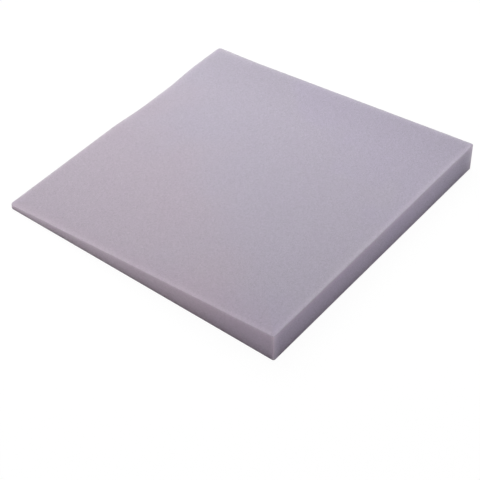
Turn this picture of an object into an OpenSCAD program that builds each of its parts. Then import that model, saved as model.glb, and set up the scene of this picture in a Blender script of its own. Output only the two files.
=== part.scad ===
// Acoustic foam panel: one square of open-cell foam, tapered from a thick edge to a thin one.
// It lies on its flat back with its sloping face up. X runs from the thin edge to the thick
// edge, Y runs along them and Z is up. The origin is under the middle of the panel.

/* [Panel] */
// Length of the panel, from its thin edge to its thick edge
panel_length = 500; // [300:1:1200]
// Width of the panel, along its thin and thick edges
panel_width = 500; // [300:1:1200]
// Height of the face at the thick edge
thick_edge_height = 48; // [20:0.5:120]
// Height of the face at the thin edge
thin_edge_height = 8; // [6:0.5:16]

/* [Cut edges] */
// Radius that the cut leaves where the face and the back meet the sides
edge_radius = 2; // [0.5:0.1:2.5]
// Radius of the two upright corners of the thick edge
thick_corner_radius = 3.5; // [2.6:0.1:10]
// Radius of the two upright corners of the thin edge
thin_corner_radius = 6; // [2.6:0.1:10]
// Depth that the levelling cut takes off the back
back_skim = 0.6; // [0.1:0.1:0.8]

/* [Wander of the thin edge] */
// How much further out the far end of the thin edge lies than its near end
thin_edge_skew = 3; // [0:0.1:10]
// How deep the dip cuts into the thin edge
dip_depth = 4; // [0:0.1:10]
// Distance from the far side to the middle of the dip
dip_to_far_side = 170; // [150:1:180]
// Length of the dip along the thin edge
dip_length = 210; // [150:1:240]
// Length over which the dip sinks in, and over which it comes back out
dip_run = 75; // [40:1:75]
// How far the corner between the thin edge and the far side is drawn out
ear_reach = 2.8; // [0:0.1:8]
// Length of the far side that is drawn out with that corner
ear_run = 94; // [60:1:200]

/* [Hidden] */

foam_colour = [0.71, 0.68, 0.74];

half_length = panel_length / 2;
half_width = panel_width / 2;
face_slope = (thick_edge_height - thin_edge_height) / panel_length;

dip_middle = half_width - dip_to_far_side;
dip_start = dip_middle - dip_length / 2;
dip_end = dip_middle + dip_length / 2;

corner_steps = 8; // facets round an upright corner
edge_steps = 6;   // facets round the rim of the face or the back
dip_steps = 48;   // stretches along the dip
ear_steps = 12;   // stretches along the drawn-out corner

// Goes smoothly from 0 to 1 while u goes from 0 to 1
function ease(u) = (1 - cos(180 * min(max(u, 0), 1))) / 2;

// How far the dip cuts in at a place y along the thin edge
function dip_at(y) =
    dip_depth * ease((y - dip_start) / dip_run) * ease((dip_end - y) / dip_run);

// Where the thin edge lies at a place y along it
function thin_edge_at(y) =
    thin_edge_skew * (half_width - y) / panel_width + dip_at(y) - half_length;

// Where the far side lies at a place x along it
function far_side_at(x) =
    half_width - ear_reach * ease((x + half_length) / ear_run);

// Height of the face above a place x
function face_at(x) = thin_edge_height + face_slope * (x + half_length);

// One upright corner of the outline: its outermost place, which way it points, its first angle
function corner_arc(tip, way, radius, first_angle) = [
    for (i = [0:corner_steps])
        let (angle = first_angle + 90 * i / corner_steps)
        tip - radius * way + radius * [cos(angle), sin(angle)]
];

// The panel's outline from above, anticlockwise from the near end of the thick edge
outline = concat(
    corner_arc([half_length, -half_width], [1, -1], thick_corner_radius, 270),
    corner_arc([half_length, far_side_at(half_length)], [1, 1], thick_corner_radius, 0),
    [for (i = [0:ear_steps - 1])
        let (x = ear_run + (thin_corner_radius - ear_run) * i / ear_steps - half_length)
        [x, far_side_at(x)]],
    corner_arc([-half_length, half_width], [-1, 1], thin_corner_radius, 90),
    [for (i = [0:dip_steps])
        let (y = dip_end - dip_length * i / dip_steps)
        [thin_edge_at(y), y]],
    corner_arc([thin_edge_at(-half_width), -half_width], [-1, -1], thin_corner_radius, 180)
);
outline_count = len(outline);

// Direction from a point of the outline into the foam, square to the outline
function inward(i) =
    let (
        ahead = outline[(i + 1) % outline_count],
        behind = outline[(i + outline_count - 1) % outline_count],
        along = (ahead - behind) / norm(ahead - behind)
    )
    [-along.y, along.x];

// The outline drawn in by an inset
function drawn_in(inset) = [for (i = [0:outline_count - 1]) outline[i] + inset * inward(i)];

// Rings of points up the rim of the back, then up the rim of the sloping face
rings = concat(
    [for (k = [0:edge_steps])
        let (angle = 90 * k / edge_steps)
        [for (p = drawn_in(edge_radius * (1 - sin(angle))))
            [p.x, p.y, edge_radius * (1 - cos(angle)) - back_skim]]],
    [for (k = [0:edge_steps])
        let (angle = 90 * k / edge_steps)
        [for (p = drawn_in(edge_radius * (1 - cos(angle))))
            [p.x, p.y, face_at(p.x) - edge_radius * (1 - sin(angle))]]]
);

// The foam as cut from the sheet: its rings joined by walls and closed by the back and the face
module tapered_slab() {
    last_ring = len(rings) - 1;
    points = [for (ring = rings) each ring];
    walls = [
        for (k = [0:last_ring - 1], i = [0:outline_count - 1])
            let (j = (i + 1) % outline_count)
            [
                k * outline_count + i,
                (k + 1) * outline_count + i,
                (k + 1) * outline_count + j,
                k * outline_count + j
            ]
    ];
    back = [for (i = [0:outline_count - 1]) i];
    face = [for (i = [outline_count - 1:-1:0]) last_ring * outline_count + i];
    polyhedron(points, concat(walls, [back, face]), convexity = 4);
}

// What the levelling cut takes away under the panel
module levelling_cut() {
    translate([-panel_length, -panel_width, -2 * back_skim])
        cube([2 * panel_length, 2 * panel_width, 2 * back_skim]);
}

// The whole panel
module foam_panel() {
    color(foam_colour)
        difference() {
            tapered_slab();
            levelling_cut();
        }
}

foam_panel();
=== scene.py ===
import math

import bpy
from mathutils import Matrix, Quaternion, Vector


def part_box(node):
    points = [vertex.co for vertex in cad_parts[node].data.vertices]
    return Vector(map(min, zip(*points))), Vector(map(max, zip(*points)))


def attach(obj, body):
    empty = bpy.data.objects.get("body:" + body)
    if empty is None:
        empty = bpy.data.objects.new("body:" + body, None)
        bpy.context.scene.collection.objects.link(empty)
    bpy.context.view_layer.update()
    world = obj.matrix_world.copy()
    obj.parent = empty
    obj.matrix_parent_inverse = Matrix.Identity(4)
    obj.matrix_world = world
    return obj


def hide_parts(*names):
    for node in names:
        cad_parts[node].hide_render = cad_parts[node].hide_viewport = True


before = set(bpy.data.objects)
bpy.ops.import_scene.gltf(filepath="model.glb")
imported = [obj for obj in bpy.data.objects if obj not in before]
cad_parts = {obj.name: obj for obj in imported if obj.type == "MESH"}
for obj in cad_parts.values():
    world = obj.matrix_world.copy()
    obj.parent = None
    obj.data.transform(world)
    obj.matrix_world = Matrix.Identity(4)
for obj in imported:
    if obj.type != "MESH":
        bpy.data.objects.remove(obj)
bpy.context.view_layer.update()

mm = 0.001
white = (1.0, 1.0, 1.0, 1.0)
low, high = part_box("foam_panel")


# what comes out of a node: wires are added, multiplied and so on as numbers are
class Wire:
    def __init__(self, socket):
        self.socket = socket
        self.tree = socket.id_data

    def __add__(self, other):
        return calc("ADD", self, other)

    def __sub__(self, other):
        return calc("SUBTRACT", self, other)

    def __rsub__(self, other):
        return calc("SUBTRACT", other, self)

    def __mul__(self, other):
        return calc("MULTIPLY", self, other)

    def __truediv__(self, other):
        return calc("DIVIDE", self, other)

    def __rtruediv__(self, other):
        return calc("DIVIDE", other, self)


def plug(value, socket):
    if isinstance(value, Wire):
        value.tree.links.new(value.socket, socket)
    else:
        socket.default_value = value


# inputs say what goes into each socket, by its name or number
def addNode(tree, kind, inputs=None, **settings):
    node = tree.nodes.new(kind)
    for name, value in settings.items():
        setattr(node, name, value)
    for name, value in (inputs or {}).items():
        plug(value, node.inputs[name])
    return node


def addWire(tree, kind, inputs=None, output=0, **settings):
    return Wire(addNode(tree, kind, inputs, **settings).outputs[output])


def treeOf(*values):
    return next(value.tree for value in values if isinstance(value, Wire))


def calc(operation, *values):
    return addWire(treeOf(*values), "ShaderNodeMath", dict(enumerate(values)), operation=operation)


def most(a, b):
    return calc("MAXIMUM", a, b)


def least(a, b):
    return calc("MINIMUM", a, b)


# goes from first to last while the value goes from start to end, and stays there beyond
def remap(value, start, end, first=0.0, last=1.0, smooth=False):
    inputs = dict(enumerate((value, start, end, first, last)))
    kind = "SMOOTHSTEP" if smooth else "LINEAR"
    return addWire(value.tree, "ShaderNodeMapRange", inputs, interpolation_type=kind, clamp=True)


# 1 where the value is 0, and 0 from the reach on: a higher power falls faster
def fading(value, reach, power=1):
    return calc("POWER", remap(value, 0.0, reach, 1.0, 0.0), power)


# numbers into a vector, and a vector into its numbers
def join(*values):
    return addWire(treeOf(*values), "ShaderNodeCombineXYZ", dict(enumerate(values)))


def split(wire):
    outputs = addNode(wire.tree, "ShaderNodeSeparateXYZ", {0: wire}).outputs
    return {axis: Wire(output) for axis, output in zip("xyz", outputs)}


# a vector of length 1 the same way
def unit(wire):
    return addWire(wire.tree, "ShaderNodeVectorMath", {0: wire}, operation="NORMALIZE")


def scaled(wire, factor):
    return addWire(wire.tree, "ShaderNodeVectorMath", {0: wire, "Scale": factor}, operation="SCALE")


# noise from -1 to 1: a seed picks one slice of four-dimensional noise
def noise(place, size, detail, seed=None):
    inputs = {"Vector": place, "Scale": 1 / size, "Detail": detail}
    settings = {}
    if seed is not None:
        inputs["W"] = seed
        settings["noise_dimensions"] = "4D"
    return (addWire(place.tree, "ShaderNodeTexNoise", inputs, **settings) - 0.5) * 2


# the Mix node has its colours at inputs 6 and 7 and at output 2
def mixColour(kind, amount, first, second):
    inputs = {0: amount, 6: first, 7: second}
    tree = treeOf(amount, first, second)
    return addWire(tree, "ShaderNodeMix", inputs, output=2, data_type="RGBA", blend_type=kind)


# a colour as written on screen, 0 to 255, in the light's own measure
def linear(colour):
    def one(v):
        v = v / 255
        return v / 12.92 if v <= 0.04045 else ((v + 0.055) / 1.055) ** 2.4
    return tuple(one(v) for v in colour) + (1.0,)


def newMaterial(name):
    material = bpy.data.materials.new(name)
    material.use_nodes = True
    material.node_tree.nodes.clear()
    return material


def addObject(name, data):
    thing = bpy.data.objects.new(name, data)
    bpy.context.scene.collection.objects.link(thing)
    return thing


# the panel, in metres unless a note says otherwise
panel = {
    "length": high[0] - low[0],  # from the thin edge to the thick one
    "width": high[1] - low[1],
    "thickEdge": 48 * mm,        # height of the face at the thick edge
    "thinEdge": 8 * mm,          # height of the face at the thin edge
    "rimRadius": 2.0 * mm,       # softness of the cut edges
    "footRadius": 0.8 * mm,      # softness of the edges underneath
    "thickCorner": 3.5 * mm,     # radius of the upright edges beside the thick edge, seen from above
    "thinCorner": 6.0 * mm,      # and of those beside the thin edge
    "skew": 3.0 * mm,            # the far end of the thin edge lies this much further out
    "dipDepth": 4.0 * mm,        # hollow in the thin edge
    "dipToFarSide": 170 * mm,    # from its middle
    "dipLength": 210 * mm,
    "dipRun": 75 * mm,           # length of each of its slopes
    "earReach": 2.8 * mm,        # drawn-out corner between the thin edge and the far side
    "earRun": 94 * mm,
    "swell": 0.25 * mm,          # broad unevenness of the faces
    "swellSize": 70 * mm,
    "ripple": 0.05 * mm,         # finer unevenness from cell to cell
    "rippleSize": 9 * mm,
    "seed": 3.7,
    "rimCells": 5,               # mesh cells across a rounded rim
    "faceCells": 164,            # mesh cells across the flat of the face
    "wallCells": 12,             # mesh cells up a side
}


# "thickEdge" is the socket "Thick Edge"
def socketName(name):
    return "".join(" " + letter if letter.isupper() else letter for letter in name).title()


def groupInputs(tree, sizes):
    for name, value in sizes.items():
        kind = "NodeSocketInt" if isinstance(value, int) else "NodeSocketFloat"
        tree.interface.new_socket(name=socketName(name), in_out="INPUT", socket_type=kind)
    tree.interface.new_socket(name="Material", in_out="INPUT", socket_type="NodeSocketMaterial")
    sockets = addNode(tree, "NodeGroupInput").outputs
    return {name: Wire(sockets[socketName(name)]) for name in (*sizes, "material")}


def position(tree):
    return addWire(tree, "GeometryNodeInputPosition")


# a node that takes the mesh in and hands it on
def onMesh(mesh, kind, inputs=None, **settings):
    return addWire(mesh.tree, kind, {"Geometry": mesh, **(inputs or {})}, **settings)


# a block of side 1 with the same number of cells across every rim, and along each axis how far across
# the flat a point is, from 0 to 1, and how far out into a rim, from -1 to 1
def cellBlock(tree, given):
    rims = given["rimCells"] * 2
    faceCount, wallCount = given["faceCells"] + rims, given["wallCells"] + rims
    counts = {"x": faceCount, "y": faceCount, "z": wallCount}
    vertices = {"Vertices " + axis.upper(): count + 1 for axis, count in counts.items()}
    block = addWire(tree, "GeometryNodeMeshCube", vertices, output="Mesh")
    across, out = {}, {}
    for axis, place in split(position(tree)).items():
        share = given["rimCells"] / counts[axis]
        start, end = share - 0.5, 0.5 - share
        across[axis] = remap(place, start, end)
        out[axis] = remap(place, end, 0.5) - remap(place, -0.5, start, 1.0, 0.0)
    return block, across, out


# the foot's rounding, smaller than the rim's: whether a point is on it, and how far in and up it lies
def footRounding(given, outUp):
    turn = least(outUp, 0) * (-math.pi / 2)
    return {
        "here": calc("LESS_THAN", outUp, 0),
        "in": (1 - calc("COSINE", turn)) * given["footRadius"],
        "up": (1 - calc("SINE", turn)) * given["footRadius"],
    }


# places a point between two sides: evenly on the flat, then out into an upright corner, whose cells
# fill a disc seen from above, and last out by the rim's own rounding
def betweenSides(given, across, out, rimWay, foot):
    nearEdge = most(calc("ABSOLUTE", out["x"]), calc("ABSOLUTE", out["y"]))    # 1 on the outline
    disc = split(scaled(unit(join(out["x"], out["y"])), nearEdge))
    corner = remap(across["x"], 0, 1, given["thinCorner"], given["thickCorner"])
    plan = corner - given["rimRadius"]    # the part of the corner that the rim's rounding leaves
    reach = (given["rimRadius"] - foot["in"]) * remap(foot["here"], 0, 1, 1.0, nearEdge)

    def between(axis, start, end):
        flat = remap(across[axis], 0, 1, start + corner, end - corner)
        return disc[axis] * plan + flat + rimWay[axis] * reach

    return between


# the panel seen from above, and how far in from its ends and from its sides each point lies
def outline(given, between):
    halfLength, halfWidth = given["length"] * 0.5, given["width"] * 0.5
    nearSide, farSide = halfWidth * -1, halfWidth - given["earReach"]
    y = between("y", nearSide, farSide)

    # the thin end wanders: a skew and one dip
    skew = remap(y, nearSide, halfWidth, given["skew"], 0.0)
    fromDip = calc("ABSOLUTE", y - (halfWidth - given["dipToFarSide"]))
    dipHalf = given["dipLength"] * 0.5
    dip = remap(fromDip, dipHalf - given["dipRun"], dipHalf, given["dipDepth"], 0.0, smooth=True)
    thinEnd = skew + dip - halfLength
    x = between("x", thinEnd, halfLength)

    # the corner between the thin end and the far side is drawn out
    ear = remap(x + halfLength, 0.0, given["earRun"], given["earReach"], 0.0, smooth=True)
    y = ear * remap(y, farSide - given["earRun"], farSide, smooth=True) + y
    fromEnds = least(x - thinEnd, halfLength - x)
    fromSides = least(y - nearSide, farSide - y)
    return x, y, fromEnds, fromSides


# the sloping face's height, and each point's own between the flat back and the face
def heights(given, x, acrossUp, rimUp, foot):
    slope = (given["thickEdge"] - given["thinEdge"]) / given["length"]
    face = (x + given["length"] * 0.5) * slope + given["thinEdge"]
    wall = remap(acrossUp, 0, 1, given["footRadius"], face - given["rimRadius"])
    z = remap(foot["here"], 0, 1, rimUp * given["rimRadius"] + wall, foot["up"])
    return face, z


# kept for the finish, and stored on the block, because these fields read its own cells
def keepDistances(mesh, distances):
    for name, value in distances.items():
        inputs = {"Name": name, "Value": value}
        mesh = onMesh(mesh, "GeometryNodeStoreNamedAttribute", inputs, data_type="FLOAT", domain="POINT")
    return mesh


# the faces are a little uneven, but the back lies flat, so that this starts just above the foot
def unevenFaces(mesh, given):
    place = position(mesh.tree)
    swell = noise(place, given["swellSize"], 1, given["seed"]) * given["swell"]
    ripple = noise(place, given["rippleSize"], 2, given["seed"]) * given["ripple"]
    share = remap(split(place)["z"], given["footRadius"], given["footRadius"] * 3)
    normal = addWire(mesh.tree, "GeometryNodeInputNormal")
    push = scaled(normal, (swell + ripple) * share)
    return onMesh(mesh, "GeometryNodeSetPosition", {"Offset": push})


# the slab by rule: a fine block of cells, drawn to the tapered shape with rounded rims
def panelTree():
    tree = bpy.data.node_groups.new("taperedSlab", "GeometryNodeTree")
    tree.interface.new_socket(name="Geometry", in_out="OUTPUT", socket_type="NodeSocketGeometry")
    given = groupInputs(tree, panel)
    mesh, across, out = cellBlock(tree, given)

    # the way in which the rim's rounding carries each point out, and then the shape itself
    rimWay = split(unit(join(out["x"], out["y"], most(out["z"], 0))))
    foot = footRounding(given, out["z"])
    between = betweenSides(given, across, out, rimWay, foot)
    x, y, fromEnds, fromSides = outline(given, between)
    face, z = heights(given, x, across["z"], rimWay["z"], foot)

    belowFace = most(face - z, 0)
    mesh = keepDistances(mesh, {
        "belowFace": belowFace,
        "downSide": belowFace / face,    # as a share of the way down
        "fromEnds": fromEnds,
        "fromSides": fromSides,
    })
    mesh = onMesh(mesh, "GeometryNodeSetPosition", {"Position": join(x, y, z)})
    mesh = unevenFaces(mesh, given)
    mesh = onMesh(mesh, "GeometryNodeSetShadeSmooth")
    mesh = onMesh(mesh, "GeometryNodeRealizeInstances")
    mesh = onMesh(mesh, "GeometryNodeSetMaterial", {"Material": given["material"]})
    addNode(tree, "NodeGroupOutput", {0: mesh})
    return tree


# the tree runs on an empty holder, and what it makes becomes a plain mesh of its own
def makePanel(material):
    tree = panelTree()
    holder = addObject("panelByRule", bpy.data.meshes.new("panelByRule"))
    modifier = holder.modifiers.new("slab", "NODES")
    modifier.node_group = tree
    values = {socketName(name): value for name, value in panel.items()}
    values["Material"] = material
    for socket in tree.interface.items_tree:
        if socket.in_out == "INPUT":
            modifier[socket.identifier] = values[socket.name]
    ready = holder.evaluated_get(bpy.context.evaluated_depsgraph_get())
    mesh = bpy.data.meshes.new_from_object(ready)
    mesh.name = "foamPanel"
    bpy.data.objects.remove(holder)
    print("panel made with", len(mesh.polygons), "faces")
    return addObject("foamPanel", mesh)


# bare open-cell foam. A pair is for the thin and the thick edge, unless a note says otherwise, and a span
# is the part of the panel's length or width, 0 to 1, on which the first goes over into the second
foam = {
    # colours are as on screen, 0 to 255. A tint's border says where it begins and where it is full, in
    # metres along X plus some of Y, and its wander how far that may shift
    "plainColour": (178, 171.5, 185.5),
    # the warm and cool tints are painted light: the warmer and cooler light that falls towards corners
    # across from each other
    "warm": {"colour": (181, 171, 183), "border": (0.097, -0.334), "wander": 0.32, "seed": 110.6},
    "cool": {"colour": (178, 171, 187.5), "border": (0.178, 0.301), "wander": 0.42, "seed": 65.1},
    "tintSlope": 1.25,                      # how much of Y
    "blotchSize": 120 * mm,                 # of the wander

    # open cells
    "grainTurn": (0.6, 0.45, 0.9),          # so that no layer of the grain shows as stripes on the face
    "cellSize": 1.1 * mm,
    "cellEdge": (0.04, 0.42),               # from its strut to its dark middle, as a share of its size
    "cellDark": 0.5,                        # how much darker the middle of an open cell is
    "mottleSize": 3.5 * mm,
    "mottle": 0.14,                         # how much darker or paler it makes the foam
    "bumpHeight": 0.25 * mm,
    "bumpStrength": 0.6,
    "roughness": (0.90, 0.98),              # lowest and highest
    "roughSpread": 0.6,                     # how far from its middle the noise of that usually runs
    "specular": 0.15,
    "sheen": 0.08,
    "sheenRoughness": 0.6,
    "scatter": 0.8,                         # share of light that travels inside the foam
    "scatterReach": 8 * mm,
    "scatterShares": (1.0, 0.9, 1.0),       # of that for red, green and blue

    # painted light: paler where light comes through a cut edge, with painted highlights along the rims
    # and upright edges
    "paleColour": (240, 233, 241),
    "rimPale": (0.22, 0.19),                # how much of it the face's rims have
    "rimSpan": (0.0, 0.5),
    "paleReach": 16 * mm,                   # how far in that runs
    "rimLine": 0.04,                        # a thin painted highlight just inside the rims
    "rimLineAt": (1 * mm, 4 * mm, 7 * mm),  # where it starts, peaks and ends
    "wallPale": 0.42,                       # how pale the top of the sides is
    "wallStart": (1.0 * mm, 2.8 * mm),      # how far below the face a side begins and is wholly a side
    "wallReach": (0.8, 0.5),                # as a share of the way down
    "thinPale": (0.025, 0.16),              # painted light, paler towards the thin edge: the face and the sides' top
    "thinReach": 90 * mm,
    "cornerPale": 0.54,                     # upright edges
    "endReach": 6.5 * mm,                   # how far that runs along the near and far sides
    "cornerReach": (17 * mm, 30 * mm),      # and along the ends, from their near and their far corners
    "cornerSpan": (0.3, 0.7),
    "ridgePale": 0.36,                      # and a painted highlight once more on the rounding itself
    "ridgeInward": (0.25 * mm, 1.0 * mm),   # how far in from the outline it begins and is full
    "ridgeDown": (0.1 * mm, 1.0 * mm),      # how far below the face it does
    "ridgeEnd": (2.5 * mm, 4.5 * mm),       # how far from the corner it begins to fade and is gone

    # painted shade: darker towards the foot of the sides, and darker along the far side
    "dust": 0.30,                           # at the foot of the sides
    "bottomShadeStart": 0.40,                      # as a share of the way down
    "footShade": (0.40, 0.17),              # and a painted contact shadow once more right at the foot
    "footSpan": (0.0, 0.8),
    "footStart": 0.78,
    "footFade": 0.3,                        # how much of that is left away from the near side
    "footReach": 60 * mm,
    "underReach": (3 * mm, 18 * mm),        # where the sides' painted shade and tint fade out underneath
    "farShade": 0.07,                       # the face is darker along the far side
    "farReach": 125 * mm,

    # painted shade tints of the sides, multiplied in: deeper and more coloured than the lit face
    "sideTints": ((1.02, 0.962, 0.985, 1.0), (1.0, 0.91, 0.96, 1.0)),
    "sideSpan": (0.5, 0.9),
    "endTints": ((1.012, 0.945, 1.05, 1.0), (1.01, 0.995, 1.045, 1.0)),    # near and far
    "endSpan": (0.3, 1.0),
    "tintBlend": 4 * mm,                    # half the width over which one runs into the other
    "rimTint": 0.5,                         # how much of it runs over the near rim
    "rimTintReach": (26 * mm, 80 * mm),
}


# where a point of the foam lies, from its own place and from the distances kept on the mesh
def foamPlaces(where):
    at = split(where)
    for name in ("belowFace", "downSide", "fromEnds", "fromSides"):
        at[name] = addWire(where.tree, "ShaderNodeAttribute", output="Fac", attribute_name=name)
    at["alongLength"] = remap(at["x"], low[0], high[0])
    at["alongWidth"] = remap(at["y"], low[1], high[1])
    at["fromNear"] = at["y"] - low[1]
    at["fromRim"] = least(at["fromEnds"], at["fromSides"])
    at["onWall"] = remap(at["belowFace"], *foam["wallStart"], smooth=True)
    at["outside"] = remap(at["fromRim"], *foam["underReach"], 1.0, 0.0)
    return at


# painted light tint: pinkish towards one corner, bluer towards the one across from it, as warmer and
# cooler light falls there, with wandering borders
def foamTint(where, at):
    across = at["y"] * foam["tintSlope"] + at["x"]
    colour = linear(foam["plainColour"])
    for tint in (foam["warm"], foam["cool"]):
        wander = noise(where, foam["blotchSize"], 2, tint["seed"]) * tint["wander"]
        amount = remap(across + wander, *tint["border"], smooth=True)
        colour = mixColour("MIX", amount, colour, linear(tint["colour"]))
    return colour


# dark pores between paler struts, and a coarser mottle
def foamGrain(where):
    tree = where.tree
    grain = addWire(tree, "ShaderNodeMapping", {"Vector": where, "Rotation": foam["grainTurn"]})
    inputs = {"Vector": grain, "Scale": 1 / foam["cellSize"]}
    cells = addWire(tree, "ShaderNodeTexVoronoi", inputs, output="Distance", feature="DISTANCE_TO_EDGE")
    pore = remap(cells, *foam["cellEdge"], smooth=True)
    mottle = noise(grain, foam["mottleSize"], 3) * foam["mottle"]
    tone = (1 + foam["cellDark"] / 2) - pore * foam["cellDark"] + mottle
    patches = noise(grain, 2 * foam["mottleSize"], 2)
    rough = remap(patches, -foam["roughSpread"], foam["roughSpread"], *foam["roughness"])
    return pore, tone, rough


# painted light: paler along the cut edges, where light comes through the corner, with painted highlights
def foamPaleness(at):
    onWall, down, fromRim = at["onWall"], at["downSide"], at["fromRim"]
    rimPale = remap(at["alongLength"], *foam["rimSpan"], *foam["rimPale"])
    wallReach = remap(at["alongLength"], 0, 1, *foam["wallReach"])
    rim = remap(onWall, 0, 1, rimPale, foam["wallPale"])
    rim = rim * fading(down, wallReach, 2) * fading(fromRim, foam["paleReach"], 2)

    # a thin painted highlight just inside the rims
    start, peak, end = foam["rimLineAt"]
    line = least(remap(fromRim, start, peak), remap(fromRim, peak, end, 1.0, 0.0))
    line = line * remap(onWall, 0, 1, foam["rimLine"], 0.0)

    # painted glow on the upright edges, and a painted highlight once more on their rounding
    cornerReach = remap(at["alongWidth"], *foam["cornerSpan"], *foam["cornerReach"])
    corner = fading(at["fromEnds"], foam["endReach"], 2) * fading(at["fromSides"], cornerReach, 2)
    corner = corner * foam["cornerPale"] * onWall
    ridge = remap(fromRim, *foam["ridgeInward"], 0.0, foam["ridgePale"])
    ridge = ridge * remap(at["belowFace"], *foam["ridgeDown"], smooth=True)
    ridge = ridge * remap(most(at["fromEnds"], at["fromSides"]), *foam["ridgeEnd"], 1.0, 0.0)

    # painted light on the face and the sides' top towards the thin edge
    thin = fading(at["x"] - low[0], foam["thinReach"]) * remap(onWall, 0, 1, *foam["thinPale"])
    thin = thin * fading(down, 1.0)
    return rim + line + corner + ridge + thin


# painted shade at the foot of the sides, and darker along the far side
def foamDarkness(at):
    dust = remap(at["downSide"], foam["bottomShadeStart"], 1.0, 0.0, foam["dust"], smooth=True)
    foot = remap(at["alongLength"], *foam["footSpan"], *foam["footShade"])
    foot = foot * remap(at["downSide"], foam["footStart"], 1.0, smooth=True)
    foot = foot * remap(at["fromNear"], 0.0, foam["footReach"], 1.0, foam["footFade"])
    far = remap(high[1] - at["y"], 0.0, foam["farReach"], foam["farShade"], 0.0, smooth=True)
    return (dust + foot) * at["outside"] + far


# the sides take a painted shade tint, which changes along them and runs a little way over the near rim
def sideTint(at):
    thickward = remap(at["alongLength"], *foam["sideSpan"])
    farward = remap(at["alongWidth"], *foam["endSpan"])
    atEnd = remap(at["fromSides"] - at["fromEnds"], -foam["tintBlend"], foam["tintBlend"], smooth=True)
    side = mixColour("MIX", thickward, *foam["sideTints"])
    end = mixColour("MIX", farward, *foam["endTints"])
    rimReach = remap(thickward, 0, 1, *foam["rimTintReach"])
    overRim = fading(at["fromNear"], rimReach) * foam["rimTint"]
    amount = most(at["onWall"] * at["outside"], overRim)
    return amount, mixColour("MIX", atEnd, side, end)


def foamMaterial():
    material = newMaterial("openCellFoam")
    tree = material.node_tree
    where = addWire(tree, "ShaderNodeTexCoord", output="Object")
    at = foamPlaces(where)
    pore, tone, rough = foamGrain(where)
    tone = tone - foamDarkness(at)
    grey = addWire(tree, "ShaderNodeCombineColor", {0: tone, 1: tone, 2: tone})

    # the painted light tints with the grain over them, then the painted light and highlights that make it
    # paler, and last the sides' painted shade tint
    colour = mixColour("MULTIPLY", 1.0, foamTint(where, at), grey)
    colour = mixColour("MIX", foamPaleness(at), colour, linear(foam["paleColour"]))
    amount, tint = sideTint(at)
    colour = mixColour("MULTIPLY", amount, colour, tint)

    bump = addWire(tree, "ShaderNodeBump", {
        "Strength": foam["bumpStrength"],
        "Distance": foam["bumpHeight"],
        "Height": 1.0 - pore,
    })
    shader = addWire(tree, "ShaderNodeBsdfPrincipled", {
        "Base Color": colour,
        "Roughness": rough,
        "Normal": bump,
        "Specular IOR Level": foam["specular"],
        "Sheen Weight": foam["sheen"],
        "Sheen Roughness": foam["sheenRoughness"],
        "Subsurface Weight": foam["scatter"],
        "Subsurface Radius": foam["scatterShares"],
        "Subsurface Scale": foam["scatterReach"],
    })
    addNode(tree, "ShaderNodeOutputMaterial", {"Surface": shader})
    print("foam made with", len(tree.nodes), "nodes")
    return material


panelPiece = makePanel(foamMaterial())
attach(panelPiece, "root")
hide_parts("foam_panel")

# pale floor: white to the camera with the panel's soft shadow kept, plain pale to the foam
paleFloor = {
    "halfSize": 6.0,
    "drop": 0.2 * mm,               # below the panel's back
    "colour": (185, 185, 185),
    "shadowShare": 0.075,           # how much of the floor's own shading the camera sees
    "shadowFade": (0.35, 0.9),      # how far out that begins to fade and is gone
    "openBrightness": 0.62,         # of the floor's shading where nothing shadows it
}


# 1 for what the camera sees, straight or in a reflection, and 0 for the light that reaches the foam
def seenRays(tree):
    rays = addNode(tree, "ShaderNodeLightPath").outputs
    seen = most(Wire(rays["Is Camera Ray"]), Wire(rays["Is Glossy Ray"]))
    return most(seen, Wire(rays["Is Transmission Ray"]))


def floorMaterial():
    material = newMaterial("paleFloor")
    tree = material.node_tree
    seen = seenRays(tree)
    matt = addWire(tree, "ShaderNodeBsdfDiffuse", {
        "Color": mixColour("MIX", seen, linear(paleFloor["colour"]), white),
    })

    # the floor's own shading shows round the panel only, and open floor there comes out white as well
    where = addWire(tree, "ShaderNodeTexCoord", output="Object")
    away = addWire(tree, "ShaderNodeVectorMath", {0: where}, output="Value", operation="LENGTH")
    shading = remap(away, *paleFloor["shadowFade"], paleFloor["shadowShare"], 0.0, smooth=True)
    plain = 1 - shading
    level = 1 - shading * paleFloor["openBrightness"]
    glow = addWire(tree, "ShaderNodeEmission", {"Strength": level / plain})
    both = addWire(tree, "ShaderNodeMixShader", {0: seen * plain, 1: matt, 2: glow})
    addNode(tree, "ShaderNodeOutputMaterial", {"Surface": both})
    return material


def makeFloor():
    half = paleFloor["halfSize"]
    corners = [(-half, -half, 0), (half, -half, 0), (half, half, 0), (-half, half, 0)]
    mesh = bpy.data.meshes.new("floor")
    mesh.from_pydata(corners, [], [(0, 1, 2, 3)])
    mesh.materials.append(floorMaterial())
    floor = addObject("floor", mesh)
    floor.location.z = -paleFloor["drop"]


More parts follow.
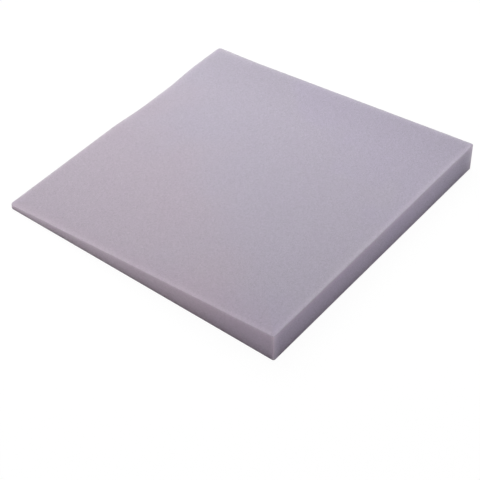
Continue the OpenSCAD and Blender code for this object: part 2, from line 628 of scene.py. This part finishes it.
# white where the camera sees it, and no light on the foam
def makeWorld():
    world = bpy.data.worlds.new("studio")
    world.use_nodes = True
    tree = world.node_tree
    tree.nodes.clear()
    sky = addWire(tree, "ShaderNodeBackground", {"Color": white, "Strength": seenRays(tree)})
    addNode(tree, "ShaderNodeOutputWorld", {"Surface": sky})
    bpy.context.scene.world = world


# puts a lamp or the camera so that it faces its target, which is the middle of the floor unless set; the
# angles are in degrees, round from the near side towards the thick edge, and up
def aim(thing, setting):
    around, up = math.radians(setting["around"]), math.radians(setting["up"])
    way = Vector((math.sin(around) * math.cos(up), -math.cos(around) * math.cos(up), math.sin(up)))
    roll = Quaternion((0, 0, 1), math.radians(setting.get("roll", 0.0)))
    thing.location = Vector(setting.get("target", (0, 0, 0))) + way * setting["distance"]
    thing.rotation_mode = "QUATERNION"
    thing.rotation_quaternion = (-way).to_track_quat("-Z", "Y") @ roll


# round and soft: one above the far end of the thin edge, and weaker ones that face the near side and
# the thick edge
lamps = {
    "key": {"around": 234.4, "up": 63.9, "distance": 0.85, "width": 1.45, "power": 9.85},
    "leftFill": {"around": 352, "up": 18, "distance": 1.8, "width": 1.0, "power": 9.5},
    "rightFill": {"around": 105, "up": 20, "distance": 1.6, "width": 0.9, "power": 6.9},
}


def makeLamps():
    for name, setting in lamps.items():
        light = bpy.data.lights.new(name, "AREA")
        light.shape = "DISK"
        light.size = setting["width"]
        light.energy = setting["power"]
        lamp = addObject(name, light)
        lamp.visible_camera = False
        aim(lamp, setting)


view = {
    "around": 39.2504,
    "up": 43.6051,
    "roll": -1.123,
    "distance": 1.96964,
    "target": (0.06888, -0.09452, 0.0),
    "lens": 101.518,    # in millimetres, as is the film
    "filmWidth": 36.0,
}


def makeCamera():
    optics = bpy.data.cameras.new("camera")
    optics.lens = view["lens"]
    optics.sensor_width = view["filmWidth"]
    camera = addObject("camera", optics)
    aim(camera, view)
    bpy.context.scene.camera = camera


makeFloor()
makeWorld()
print("floor and world made")
makeLamps()
makeCamera()
bpy.context.scene.view_settings.view_transform = "Standard"
print("lamps and camera set")
